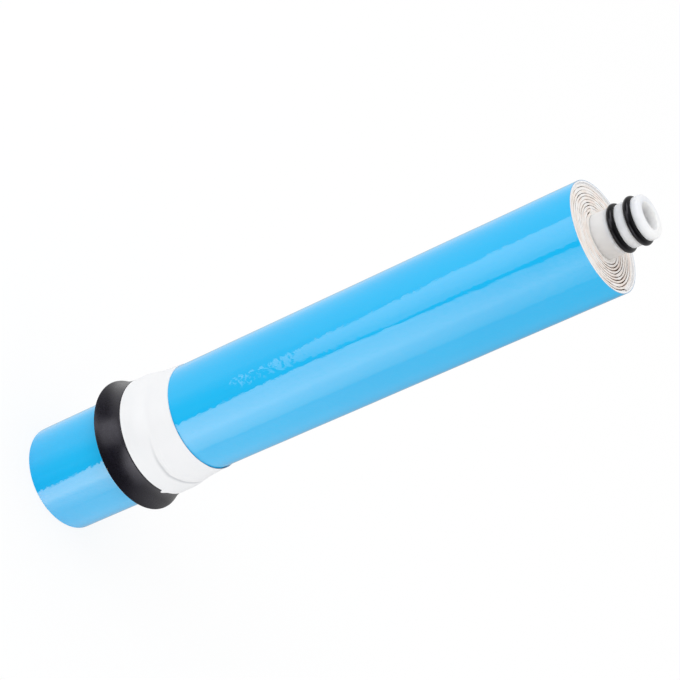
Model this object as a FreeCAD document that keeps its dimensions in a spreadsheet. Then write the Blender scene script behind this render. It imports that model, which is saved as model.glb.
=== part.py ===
"""Spiral-wound reverse-osmosis membrane element of the small household kind.

The element stands on its feed end: +Z runs along the axis from the feed end to the
permeate spigot, and the origin is on the axis, level with the feed end of the wrap.
All sizes are in millimetres and come from the sheet named Sizes.
"""
import FreeCAD, Part
import math
import os
import Sketcher
from FreeCAD import Vector

DOCUMENT = FreeCAD.newDocument("MembraneElement")
SHEET = DOCUMENT.addObject("Spreadsheet::Sheet", "Sizes")
PLANE_OF_SECTION = "XZ_Plane"
FULL_TURN = 360
SAME_PLACE = 1e-4  # two edges this close are one

# The driving dimensions
SIZES = {
    # The roll and its wraps
    "BodyDiameter": 44.1,  # outside of the blue wrap
    "BodyLength": 260.4,  # length of the blue wrap
    "WrapThickness": 0.35,  # blue film
    "BindingThickness": 0.5,  # white tape under the blue film
    "EndRecess": 0.5,  # end face of the roll below the edge of the wrap

    # The permeate tube
    "TubeDiameter": 17.4,  # outside of the tube, in the roll and up to the O-rings
    "TubeWall": 3.4,  # from the outside of the tube to the bore
    "SpigotStep": 0.25,  # the shoulder where the tube gets narrower, at the O-rings
    "SpigotReach": 19.6,  # tip of the tube past the edge of the wrap
    "TubeEndWall": 3.0,  # wall that closes the tube at the feed end
    "TipRound": 1.2,  # outer edge of the tip
    "MouthRound": 0.7,  # edge of the bore at the tip
    "HoleDiameter": 2.5,  # permeate holes through the tube's wall
    "HolesPerRow": 5,  # holes in each of the two crossed rows
    "HoleMargin": 18,  # first and last hole from the ends of the wrap

    # The O-rings and their grooves
    "RingSection": 2.9,  # thickness of an O-ring
    "RingGrooveDepth": 1.85,  # an O-ring groove, from the outside of the spigot
    "RingGrooveWidth": 3.1,  # along the tube
    "LandRound": 0.25,  # edges of the shoulder and of the grooves
    "RingSpacing": 6.8,  # from one O-ring to the other
    "OuterRingFromTip": 4.95,  # middle of the outer O-ring from the tip

    # The wound sheets
    "CarrierThickness": 0.3,  # thinnest part of the first wraps of cloth on the tube
    "LeafThickness": 0.55,  # glued leaf of two membranes with cloth between them
    "SpacerThickness": 0.57,  # netting between the turns of the leaf
    "SpacerSetback": 1.0,  # edge of the netting below the edge of the leaf

    # The brine seal
    "SealLipStation": 39.8,  # edge of the lip from the feed end
    "SealLipReach": 5.55,  # lip past the blue wrap
    "SealLipWall": 1.3,  # thickness of the lip
    "SealLipChamfer": 0.3,  # edges of the lip
    "SealFlareLength": 11.1,  # flared part, from the edge of the lip to the sleeve
    "SealHollowDepth": 8.0,  # groove between lip and wrap
    "SealSleeveThickness": 2.1,  # sleeve on the wrap
    "SealSleeveLength": 7.1,  # thick part of the sleeve
    "SealBevelLength": 4.8,  # from the thick part down to the tail
    "SealTailThickness": 0.75,  # tail of the sleeve
    "SealTailLength": 2.7,  # tail of the sleeve

    # The white tape that holds the seal
    "TapeThickness": 0.3,  # white tape
    "TapeLength": 23.5,  # along the element, from the flare of the seal
    "TapeLandLength": 1.4,  # last stretch, flat on the wrap
}

for row, (alias, value) in enumerate(SIZES.items(), start=1):
    SHEET.set(f"A{row}", alias)
    SHEET.set(f"B{row}", str(value))
    SHEET.setAlias(f"B{row}", alias)
DOCUMENT.recompute()

# Places that several pieces share, in terms of the sheet
WRAP_RADIUS = "Sizes.BodyDiameter / 2"
BINDING_RADIUS = f"({WRAP_RADIUS} - Sizes.WrapThickness)"
ROLL_RADIUS = f"({BINDING_RADIUS} - Sizes.BindingThickness)"
TUBE_RADIUS = "Sizes.TubeDiameter / 2"
BORE_RADIUS = f"({TUBE_RADIUS} - Sizes.TubeWall)"
SPIGOT_RADIUS = f"({TUBE_RADIUS} - Sizes.SpigotStep)"
GROOVE_RADIUS = f"({SPIGOT_RADIUS} - Sizes.RingGrooveDepth)"
RING_RADIUS = f"({GROOVE_RADIUS} + Sizes.RingSection / 2)"
CARRIER_RADIUS = f"({TUBE_RADIUS} + Sizes.CarrierThickness)"
ROLL_LENGTH = "(Sizes.BodyLength - 2 * Sizes.EndRecess)"
TIP_HEIGHT = "(Sizes.BodyLength + Sizes.SpigotReach)"
OUTER_RING_HEIGHT = f"({TIP_HEIGHT} - Sizes.OuterRingFromTip)"
INNER_RING_HEIGHT = f"({OUTER_RING_HEIGHT} - Sizes.RingSpacing)"
SLEEVE_START = "(Sizes.SealLipStation + Sizes.SealFlareLength)"
BEVEL_START = f"({SLEEVE_START} + Sizes.SealSleeveLength)"
TAIL_START = f"({BEVEL_START} + Sizes.SealBevelLength)"
TAIL_END = f"({TAIL_START} + Sizes.SealTailLength)"
LIP_RADIUS = f"({WRAP_RADIUS} + Sizes.SealLipReach)"
SLEEVE_RADIUS = f"({WRAP_RADIUS} + Sizes.SealSleeveThickness)"
TAIL_RADIUS = f"({WRAP_RADIUS} + Sizes.SealTailThickness)"
TAPE_END = f"({SLEEVE_START} + Sizes.TapeLength)"
TAPE_LAND = f"({TAPE_END} - Sizes.TapeLandLength)"


def value_of(expression):
    """The number that an expression gives now."""
    return float(SHEET.evalExpression(expression))


def new_body(node):
    """A PartDesign body labelled with the name of its piece."""
    body = DOCUMENT.addObject("PartDesign::Body", node.title().replace("_", ""))
    body.Label = node
    return body


def origin_feature(body, role):
    """A plane or an axis of the body's own origin."""
    return next(item for item in body.Origin.OriginFeatures if item.Role == role)


def new_sketch(body, name, plane):
    """A sketch on one of the body's own origin planes."""
    sketch = body.newObject("Sketcher::SketchObject", name)
    sketch.AttachmentSupport = [(origin_feature(body, plane), "")]
    sketch.MapMode = "FlatFace"
    return sketch


def bind(sketch, name, constraint, expression):
    """Adds a named dimension to the sketch and binds it to the sheet."""
    index = sketch.addConstraint(constraint)
    sketch.renameConstraint(index, name)
    sketch.setExpression(f"Constraints.{name}", expression)


def arc_between(start, end, radius):
    """The short arc from start to end that bulges to the left of the way along it."""
    chord = end - start
    middle = (start + end) * 0.5
    rise = math.sqrt(radius ** 2 - (chord.Length / 2) ** 2)
    left = Vector(-chord.y, chord.x, 0).normalize()
    centre = middle - left * rise
    top = centre + left * radius
    return Part.Arc(start, top, end)


def draw_outline(sketch, corners, arcs=None):
    """Draws a closed outline whose corners are bound to the sheet.

    corners holds (name, radius, height) as expressions, in order round the outline.
    arcs gives, for the corner where a round stretch starts, the expression of its
    radius: positive bulges to the left of the way along it, negative to the right.
    """
    arcs = arcs or {}
    points = [Vector(value_of(radius), value_of(height), 0) for _, radius, height in corners]
    count = len(points)
    ends = []
    for index, (name, _, _) in enumerate(corners):
        start, end = points[index], points[(index + 1) % count]
        if name not in arcs:
            sketch.addGeometry(Part.LineSegment(start, end))
            ends.append((1, 2))
            continue
        bend = value_of(arcs[name])
        # a sketch keeps every arc anticlockwise, so its first point may be the corner's end
        if bend > 0:
            sketch.addGeometry(arc_between(start, end, bend))
            ends.append((2, 1))
        else:
            sketch.addGeometry(arc_between(end, start, -bend))
            ends.append((1, 2))
    for index in range(count):
        following = (index + 1) % count
        sketch.addConstraint(
            Sketcher.Constraint("Coincident", index, ends[index][1], following, ends[following][0])
        )
    for index, (name, radius, height) in enumerate(corners):
        across = Sketcher.Constraint("DistanceX", -1, 1, index, ends[index][0], points[index].x)
        along = Sketcher.Constraint("DistanceY", -1, 1, index, ends[index][0], points[index].y)
        bind(sketch, f"{name}Radius", across, radius)
        bind(sketch, f"{name}Height", along, height)
        if name in arcs:
            bend = Sketcher.Constraint("Radius", index, abs(value_of(arcs[name])))
            bind(sketch, f"{name}Bend", bend, f"abs({arcs[name]})")


def revolve(body, name, corners, arcs=None):
    """Turns a closed half-section about the body's vertical axis."""
    sketch = new_sketch(body, f"{name}Section", PLANE_OF_SECTION)
    draw_outline(sketch, corners, arcs)
    turned = body.newObject("PartDesign::Revolution", name)
    turned.Profile = sketch
    turned.ReferenceAxis = (sketch, ["V_Axis"])
    turned.Angle = FULL_TURN
    DOCUMENT.recompute()
    return turned


def circular_edges(shape, places):
    """Names of the shape's circular edges, each given by its radius and height expressions."""
    wanted = [(value_of(across), value_of(along)) for across, along in places]
    names = []
    for number, edge in enumerate(shape.Edges, start=1):
        if not isinstance(edge.Curve, Part.Circle):
            continue
        found = (edge.Curve.Radius, edge.Curve.Center.z)
        if any(math.dist(found, place) < SAME_PLACE for place in wanted):
            names.append(f"Edge{number}")
    return names


def dress_edges(body, kind, name, amount, places):
    """Adds a Fillet or a Chamfer of the given amount on circular edges of the body."""
    tip = body.Tip
    dress = body.newObject(f"PartDesign::{kind}", name)
    dress.Base = (tip, circular_edges(tip.Shape, places))
    dress.setExpression("Radius" if kind == "Fillet" else "Size", amount)
    DOCUMENT.recompute()


def make_permeate_tube():
    """The moulded tube: closed at the feed end, open at the spigot, with grooves and holes."""
    body = new_body("permeate_tube")
    shoulder = f"{INNER_RING_HEIGHT} - Sizes.RingGrooveWidth / 2"
    bore_end = "Sizes.EndRecess + Sizes.TubeEndWall"
    revolve(body, "TubeTurned", [
        ("AxisBottom", "0", "Sizes.EndRecess"),
        ("FootCorner", TUBE_RADIUS, "Sizes.EndRecess"),
        ("ShoulderOuter", TUBE_RADIUS, shoulder),
        ("ShoulderInner", SPIGOT_RADIUS, shoulder),
        ("TipOuter", SPIGOT_RADIUS, TIP_HEIGHT),
        ("TipInner", BORE_RADIUS, TIP_HEIGHT),
        ("BoreCorner", BORE_RADIUS, bore_end),
        ("AxisTop", "0", bore_end),
    ])
    dress_edges(body, "Fillet", "TipEdge", "Sizes.TipRound", [(SPIGOT_RADIUS, TIP_HEIGHT)])
    dress_edges(body, "Fillet", "MouthEdge", "Sizes.MouthRound", [(BORE_RADIUS, TIP_HEIGHT)])
    cut_ring_grooves(body)
    round_lands(body, shoulder)
    drill_rows(body)
    return body


def cut_ring_grooves(body):
    """Turns the inner O-ring groove and repeats it for the outer O-ring."""
    outside = f"{TUBE_RADIUS} + Sizes.RingSection"
    low = f"{INNER_RING_HEIGHT} - Sizes.RingGrooveWidth / 2"
    high = f"{INNER_RING_HEIGHT} + Sizes.RingGrooveWidth / 2"
    sketch = new_sketch(body, "GrooveSection", PLANE_OF_SECTION)
    draw_outline(sketch, [
        ("LowInner", GROOVE_RADIUS, low),
        ("LowOuter", outside, low),
        ("HighOuter", outside, high),
        ("HighInner", GROOVE_RADIUS, high),
    ])
    groove = body.newObject("PartDesign::Groove", "RingGroove")
    groove.Profile = sketch
    groove.ReferenceAxis = (sketch, ["V_Axis"])
    groove.Angle = FULL_TURN
    DOCUMENT.recompute()
    repeat_upwards(body, "RingGrooves", groove, "2", "Sizes.RingSpacing")


def round_lands(body, shoulder):
    """Rounds the edges that an O-ring is pushed over: the shoulder and the grooves' edges."""
    half = "Sizes.RingGrooveWidth / 2"
    dress_edges(body, "Fillet", "LandEdges", "Sizes.LandRound", [
        (TUBE_RADIUS, shoulder),
        (SPIGOT_RADIUS, f"{INNER_RING_HEIGHT} + {half}"),
        (SPIGOT_RADIUS, f"{OUTER_RING_HEIGHT} - {half}"),
        (SPIGOT_RADIUS, f"{OUTER_RING_HEIGHT} + {half}"),
    ])


def repeat_upwards(body, name, feature, count, spacing):
    """Repeats a feature of the body along the body's axis."""
    pattern = body.newObject("PartDesign::LinearPattern", name)
    pattern.Originals = [feature]
    pattern.Direction = (origin_feature(body, "Z_Axis"), [""])
    pattern.Mode = "Spacing"
    pattern.setExpression("Offset", spacing)
    pattern.setExpression("Occurrences", count)
    body.Tip = pattern
    DOCUMENT.recompute()


def drill_rows(body):
    """Drills two rows of holes right through the tube, crossed and staggered, under the roll."""
    stagger = "(Sizes.BodyLength - 2 * Sizes.HoleMargin) / (2 * Sizes.HolesPerRow - 1)"
    rows = {"XZ_Plane": "Sizes.HoleMargin", "YZ_Plane": f"Sizes.HoleMargin + {stagger}"}
    for number, (plane, first) in enumerate(rows.items(), start=1):
        sketch = new_sketch(body, f"HoleSketch{number}", plane)
        sketch.addGeometry(Part.Circle(Vector(0, value_of(first), 0), Vector(0, 0, 1), 1))
        sketch.addConstraint(Sketcher.Constraint("PointOnObject", 0, 3, -2))
        bind(sketch, "Height", Sketcher.Constraint("DistanceY", -1, 1, 0, 3, value_of(first)), first)
        bind(sketch, "Diameter", Sketcher.Constraint("Diameter", 0, 1), "Sizes.HoleDiameter")
        hole = body.newObject("PartDesign::Pocket", f"Hole{number}")
        hole.Profile = sketch
        hole.Type = "ThroughAll"
        hole.SideType = "Symmetric"
        DOCUMENT.recompute()
        repeat_upwards(body, f"HoleRow{number}", hole, "Sizes.HolesPerRow", f"2 * {stagger}")


def make_o_ring(node, height):
    """An O-ring that lies on the bottom of its groove."""
    ring = DOCUMENT.addObject("Part::Torus", node.title().replace("_", ""))
    ring.Label = node
    ring.setExpression("Radius1", RING_RADIUS)
    ring.setExpression("Radius2", "Sizes.RingSection / 2")
    ring.setExpression("Placement.Base.z", height)
    return ring


def make_sheet_tube(node, inner, outer, start, length):
    """A sheet wound into a plain tube, given by its two radii, its start and its length."""
    body = new_body(node)
    sketch = new_sketch(body, f"{body.Name}Ring", "XY_Plane")
    for name, radius in (("Inner", inner), ("Outer", outer)):
        circle = sketch.addGeometry(Part.Circle(Vector(), Vector(0, 0, 1), value_of(radius)))
        sketch.addConstraint(Sketcher.Constraint("Coincident", circle, 3, -1, 1))
        bind(sketch, name, Sketcher.Constraint("Radius", circle, value_of(radius)), radius)
    pad = body.newObject("PartDesign::Pad", f"{body.Name}Pad")
    pad.Profile = sketch
    pad.setExpression("Length", length)
    body.setExpression("Placement.Base.z", start)
    return body


class Winding:
    """The spiral that the sheets follow, made of half-turns about two centres.

    Every half-turn is an arc of a circle, and the arcs of one turn meet without a
    corner because their centres lie a quarter of the pitch to either side of the axis.
    """

    def __init__(self):
        self.core = value_of(CARRIER_RADIUS)
        room = value_of(ROLL_RADIUS) - self.core
        self.leaf = value_of("Sizes.LeafThickness")
        self.spacer = value_of("Sizes.SpacerThickness")
        self.turns = math.floor(room / (self.leaf + self.spacer))
        self.pitch = room / self.turns
        self.half_turns = 2 * (self.turns - 1)
        if self.leaf <= self.pitch / 2:
            self.leaf_half_turns = self.half_turns + 1
        else:
            self.leaf_half_turns = self.half_turns

    def end_point(self, index, offset):
        """Where half-turn number index starts, at a distance above the core."""
        distance = self.core + offset + index * self.pitch / 2
        return Vector(-distance, 0, 0) if index % 2 == 0 else Vector(distance, 0, 0)

    def half_turn(self, index, offset):
        """One arc: even ones pass below the X axis and odd ones above it."""
        start = self.end_point(index, offset)
        end = self.end_point(index + 1, offset)
        centre = (start + end) * 0.5
        radius = (end - start).Length / 2
        side = -1 if index % 2 == 0 else 1
        return Part.Arc(start, centre + Vector(0, side * radius, 0), end).toShape()

    def curve(self, offset, count):
        """The spiral's first count half-turns, at a distance above the core."""
        return [self.half_turn(index, offset) for index in range(count)]

    def strip(self, low, high, count):
        """The section of a sheet between two distances above the core."""
        start = Part.makeLine(self.end_point(0, high), self.end_point(0, low))
        end = Part.makeLine(self.end_point(count, low), self.end_point(count, high))
        edges = self.curve(low, count) + [end] + self.curve(high, count)[::-1] + [start]
        return Part.Face(Part.Wire(edges))


def place_wound(node, section, start, length):
    """Raises the section of a wound sheet into a solid and places it along the axis."""
    sheet = DOCUMENT.addObject("Part::Feature", node.title().replace("_", ""))
    sheet.Label = node
    sheet.Shape = section.extrude(Vector(0, 0, value_of(length)))
    sheet.Placement = FreeCAD.Placement(Vector(0, 0, value_of(start)), FreeCAD.Rotation())
    return sheet


def make_permeate_carrier(winding):
    """The first wraps of cloth on the tube, which end in the step where the leaf starts."""
    first_turn = winding.curve(0, 2)
    step = Part.makeLine(winding.end_point(2, 0), winding.end_point(0, 0))
    bore = Part.Face(Part.Wire(Part.makeCircle(value_of(TUBE_RADIUS))))
    section = Part.Face(Part.Wire(first_turn + [step])).cut(bore).Faces[0]
    return place_wound("permeate_carrier", section, "Sizes.EndRecess", ROLL_LENGTH)


def make_membrane_leaf(winding):
    """The glued leaf, wound on the carrier."""
    section = winding.strip(0, winding.leaf, winding.leaf_half_turns)
    return place_wound("membrane_leaf", section, "Sizes.EndRecess", ROLL_LENGTH)


def make_feed_spacer(winding):
    """The netting, wound on the outside of the leaf and a little shorter at both ends."""
    section = winding.strip(winding.leaf, winding.leaf + winding.spacer, winding.half_turns)
    start = "Sizes.EndRecess + Sizes.SpacerSetback"
    length = f"{ROLL_LENGTH} - 2 * Sizes.SpacerSetback"
    return place_wound("feed_spacer", section, start, length)


def make_brine_seal():
    """The rubber seal: a lip flared towards the feed end, and a sleeve under the tape."""
    body = new_body("brine_seal")
    neck = f"({SLEEVE_RADIUS} + Sizes.TapeThickness)"
    flare = "Sizes.SealFlareLength"
    rise = f"({LIP_RADIUS} - {neck})"
    bend = f"(({flare} ^ 2 + {rise} ^ 2) / (2 * {rise}))"
    inner_bend = f"({bend} + Sizes.SealLipWall)"
    centre = f"({neck} + {bend})"
    hollow_left = f"({flare} - Sizes.SealHollowDepth)"
    hollow_end = "Sizes.SealLipStation + Sizes.SealHollowDepth"
    lip_inner = f"{centre} - sqrt({inner_bend} ^ 2 - {flare} ^ 2)"
    hollow_inner = f"{centre} - sqrt({inner_bend} ^ 2 - {hollow_left} ^ 2)"
    revolve(body, "SealTurned", [
        ("HollowCorner", WRAP_RADIUS, hollow_end),
        ("TailInner", WRAP_RADIUS, TAIL_END),
        ("TailOuter", TAIL_RADIUS, TAIL_END),
        ("BevelLow", TAIL_RADIUS, TAIL_START),
        ("BevelHigh", SLEEVE_RADIUS, BEVEL_START),
        ("SleeveStart", SLEEVE_RADIUS, SLEEVE_START),
        ("Neck", neck, SLEEVE_START),
        ("LipOuter", LIP_RADIUS, "Sizes.SealLipStation"),
        ("LipInner", lip_inner, "Sizes.SealLipStation"),
        ("HollowInner", hollow_inner, hollow_end),
    ], arcs={"Neck": f"-{bend}", "LipInner": inner_bend})
    rims = [(LIP_RADIUS, "Sizes.SealLipStation"), (lip_inner, "Sizes.SealLipStation")]
    dress_edges(body, "Chamfer", "LipEdges", "Sizes.SealLipChamfer", rims)
    return body


def make_seal_tape():
    """The white tape, wound over the seal's sleeve and down onto the blue wrap."""
    body = new_body("seal_tape")
    lower = [
        ("SleeveStart", SLEEVE_RADIUS, SLEEVE_START),
        ("BevelStart", SLEEVE_RADIUS, BEVEL_START),
        ("TailStart", TAIL_RADIUS, TAIL_START),
        ("TailEnd", TAIL_RADIUS, TAIL_END),
        ("LandStart", WRAP_RADIUS, TAPE_LAND),
        ("LandEnd", WRAP_RADIUS, TAPE_END),
    ]
    upper = [
        (f"{name}Top", f"{radius} + Sizes.TapeThickness", height)
        for name, radius, height in reversed(lower)
    ]
    revolve(body, "TapeTurned", lower + upper)
    return body


def build_pieces():
    """Makes every piece of the element, from the tube outwards."""
    winding = Winding()
    return [
        make_permeate_tube(),
        make_o_ring("o_ring_inner", INNER_RING_HEIGHT),
        make_o_ring("o_ring_outer", OUTER_RING_HEIGHT),
        make_permeate_carrier(winding),
        make_membrane_leaf(winding),
        make_feed_spacer(winding),
        make_sheet_tube("binding_tape", ROLL_RADIUS, BINDING_RADIUS, "0", "Sizes.BodyLength"),
        make_sheet_tube("body_wrap", BINDING_RADIUS, WRAP_RADIUS, "0", "Sizes.BodyLength"),
        make_brine_seal(),
        make_seal_tape(),
    ]


def check_document(pieces):
    """Stops if any object failed to recompute or any piece isn't one sound solid."""
    for item in DOCUMENT.Objects:
        if "Invalid" in item.State or "Error" in item.State:
            raise RuntimeError(f"{item.Name} is {item.State}")
    for piece in pieces:
        shape = piece.Shape
        if shape.isNull() or not shape.isValid() or len(shape.Solids) != 1:
            raise RuntimeError(f"{piece.Label} isn't one valid solid")


def write_pieces(pieces):
    """Writes each piece to its own file and prints its main measures."""
    os.makedirs("parts", exist_ok=True)
    for piece in pieces:
        box = piece.Shape.optimalBoundingBox(False, False)
        print(
            f"{piece.Label}: {piece.Shape.Volume:.1f} mm3, "
            f"width {box.XLength:.2f}, from {box.ZMin:.2f} to {box.ZMax:.2f}"
        )
        piece.Shape.exportStep(f"parts/{piece.Label}.step")


PIECES = build_pieces()
DOCUMENT.recompute()
check_document(PIECES)
write_pieces(PIECES)
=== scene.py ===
"""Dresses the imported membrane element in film, tape and rubber, in a white studio."""

import logging
import math
from dataclasses import dataclass
from enum import Enum
from functools import reduce

import bpy
import numpy as np
from mathutils import Matrix, Vector


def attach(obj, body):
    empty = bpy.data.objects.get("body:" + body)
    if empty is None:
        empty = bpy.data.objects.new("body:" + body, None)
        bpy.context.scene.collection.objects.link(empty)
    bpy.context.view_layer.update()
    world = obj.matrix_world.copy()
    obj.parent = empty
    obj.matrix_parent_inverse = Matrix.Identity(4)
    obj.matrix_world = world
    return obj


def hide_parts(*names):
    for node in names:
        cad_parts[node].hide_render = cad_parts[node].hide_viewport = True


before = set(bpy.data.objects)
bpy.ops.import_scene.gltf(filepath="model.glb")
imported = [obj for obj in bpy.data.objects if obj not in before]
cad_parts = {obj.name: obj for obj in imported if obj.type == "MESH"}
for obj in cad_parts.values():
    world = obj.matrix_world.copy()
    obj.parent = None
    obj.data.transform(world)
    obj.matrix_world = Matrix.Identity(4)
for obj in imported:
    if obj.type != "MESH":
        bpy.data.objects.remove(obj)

LOG = logging.getLogger("membrane_element")
MM = 0.001
Pair = tuple[float, float]
Colour = Place = tuple[float, float, float]
Array = np.ndarray
Material = bpy.types.Material
Object = bpy.types.Object
Socket = bpy.types.NodeSocket


class Slot(Enum):
    """The record's material slots that new pieces take their finish from."""

    FILM = "blue_film"
    TAPE = "white_tape"
    SEAL = "seal_rubber"
    MEMBRANE = "membrane"
    NETTING = "netting"


class Wave(Enum):
    """What a sum of waves is used for, with the seed of its random draws."""

    FILM_SLACK = 11
    TAPE_DRAPE = 23
    LEAF_EDGE = 37
    LEAF_GAP = 43
    NETTING = 41


# ---- Shapes ----


def smoothstep(low: float, high: float, values: Array) -> Array:
    """Rises from 0 at low to 1 at high along 3t² − 2t³.

    Args:
        low: where the rise starts.
        high: where it ends, which may be below low.
        values: the places to evaluate.

    Returns:
        The rise at each place, between 0 and 1.
    """
    part = np.clip((values - low) / (high - low), 0.0, 1.0)
    return part * part * (3.0 - 2.0 * part)


@dataclass(frozen=True)
class Ripples:
    """A seeded sum of cosine waves that run round and along a cylinder.

    The height is the sum of a·cos(m·angle + 2π·z/length + phase). Each wave's
    a is its slope times its wavelength over 2π, so every wave tilts the
    surface alike.
    """

    use: Wave
    waves: int
    most_round: int
    lengths: Pair
    slope: float
    radius: float

    def height(self, angle: Array, z: Array) -> Array:
        """Adds the waves up.

        Args:
            angle: angles round the axis in radians.
            z: heights in millimetres, of a shape that goes with angle.

        Returns:
            The relief in millimetres.
        """
        draw = np.random.default_rng(self.use.value)
        turns = draw.integers(-self.most_round, self.most_round + 1, self.waves)
        along = 2 * np.pi / draw.uniform(*self.lengths, self.waves)
        phase = draw.uniform(0, 2 * np.pi, self.waves)
        steepness = np.hypot(turns / self.radius, along)
        share = self.slope / steepness / math.sqrt(self.waves / 2)
        where = np.broadcast_arrays(angle, z)
        sum_of = turns * where[0][..., None] + along * where[1][..., None] + phase
        return (share * np.cos(sum_of)).sum(axis=-1)


def around(radius: Array, angle: Array, z: Array) -> Array:
    """Places points by radius, angle and height: x = r·sin(angle), y = −r·cos(angle).

    Args:
        radius: distances from the axis in millimetres.
        angle: angles from −Y towards +X in radians.
        z: heights in millimetres.

    Returns:
        Points in metres, in an array with a last axis of 3.
    """
    radius, angle, z = np.broadcast_arrays(radius, angle, z)
    return np.stack([radius * np.sin(angle), -radius * np.cos(angle), z], axis=-1) * MM


def rounded_outline(corners: list[tuple[float, float, float]], steps: int = 5,
                    hold: float = 0.35) -> Array:
    """A closed outline whose corners are quadratic Bézier curves.

    Each corner C with amount d is replaced by (1−t)²·A + 2t(1−t)·C + t²·B,
    where A and B lie on its two sides, d away from it. A point a little
    further out on each side keeps the shading of the flats even, so each
    corner becomes steps + 3 points.

    Args:
        corners: (radius, height, amount) for each corner, in millimetres.
        steps: the number of pieces of each curve.
        hold: how far beyond A and B the two points lie, as a share of d.

    Returns:
        The outline's points (radius, height), one row each.
    """
    place = np.array([corner[:2] for corner in corners])
    t = np.linspace(0, 1, steps + 1)[:, None]
    rows = []
    for index, (_, _, amount) in enumerate(corners):
        here = place[index]
        back = place[index - 1] - here
        ahead = place[(index + 1) % len(corners)] - here
        back, ahead = back / np.linalg.norm(back), ahead / np.linalg.norm(ahead)
        start, end = here + back * amount, here + ahead * amount
        curve = (1 - t) ** 2 * start + 2 * t * (1 - t) * here + t ** 2 * end
        beside = amount * hold
        rows += [start + back * beside, *curve, end + ahead * beside]
    return np.array(rows)


def subdivided(outline: Array, longest: float) -> Array:
    """Splits the long sides of a closed outline into equal pieces.

    Args:
        outline: points (radius, height).
        longest: the greatest length of a piece in millimetres.

    Returns:
        The outline with more points.
    """
    run = np.roll(outline, -1, axis=0) - outline
    pieces = np.ceil(np.linalg.norm(run, axis=1) / longest).astype(int).clip(1)
    start = np.repeat(np.arange(len(outline)), pieces)
    part = (np.arange(len(start)) - np.repeat(np.cumsum(pieces) - pieces, pieces)) / pieces[start]
    return outline[start] + part[:, None] * run[start]


def quad_indices(rows: int, columns: int, close_rows: bool = True) -> Array:
    """Numbers the corners of the quads of a grid whose last column joins the first.

    Args:
        rows: the grid's first size.
        columns: its second size.
        close_rows: whether the last row joins the first too.

    Returns:
        Four vertex numbers for each quad.
    """
    index = np.arange(rows * columns).reshape(rows, columns)
    if close_rows:
        index = np.vstack([index, index[:1]])
    index = np.hstack([index, index[:, :1]])
    corners = [index[:-1, :-1], index[1:, :-1], index[1:, 1:], index[:-1, 1:]]
    return np.stack(corners, axis=-1).reshape(-1, 4)


def enclosed(points: Array, quads: Array) -> float:
    """The volume inside the quads: a sum of a·(b × c)/6.

    Args:
        points: the vertices, one row each.
        quads: four vertex numbers for each quad.

    Returns:
        The volume, which is negative when the quads face inwards.
    """
    a, b, c, d = (points[quads[:, corner]] for corner in range(4))
    first = np.einsum("ij,ij->i", a, np.cross(b, c))
    second = np.einsum("ij,ij->i", a, np.cross(c, d))
    return float((first + second).sum() / 6)


def add_piece(name: str, points: Array, quads: Array | None = None,
              caps: list[list[int]] = ()) -> Object:
    """Makes a smooth mesh object at the origin whose faces face outwards.

    Args:
        name: the piece's name.
        points: its vertices in metres.
        quads: four vertex numbers for each quad, or none for a grid closed both ways.
        caps: further faces, which face the same way as the quads.

    Returns:
        The object, linked to the scene and riding on the part.
    """
    if quads is None:
        quads = quad_indices(*points.shape[:2])
    points = points.reshape(-1, 3)
    if enclosed(points, quads) < 0:
        quads, caps = quads[:, ::-1], [cap[::-1] for cap in caps]
    mesh = bpy.data.meshes.new(name)
    mesh.from_pydata(points.tolist(), [], quads.tolist() + list(caps))
    mesh.polygons.foreach_set("use_smooth", np.ones(len(mesh.polygons), dtype=bool))
    mesh.update()
    piece = bpy.data.objects.new(name, mesh)
    bpy.context.scene.collection.objects.link(piece)
    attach(piece, "root")
    return piece


def dress(piece: Object, material: Material) -> None:
    """Gives a piece, or each slot of a frame node, one material.

    Args:
        piece: the piece or the frame's node.
        material: what it is to wear.
    """
    if not piece.material_slots:
        piece.data.materials.append(material)
    for slot in piece.material_slots:
        slot.material = material


# ---- Finishes ----


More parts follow.
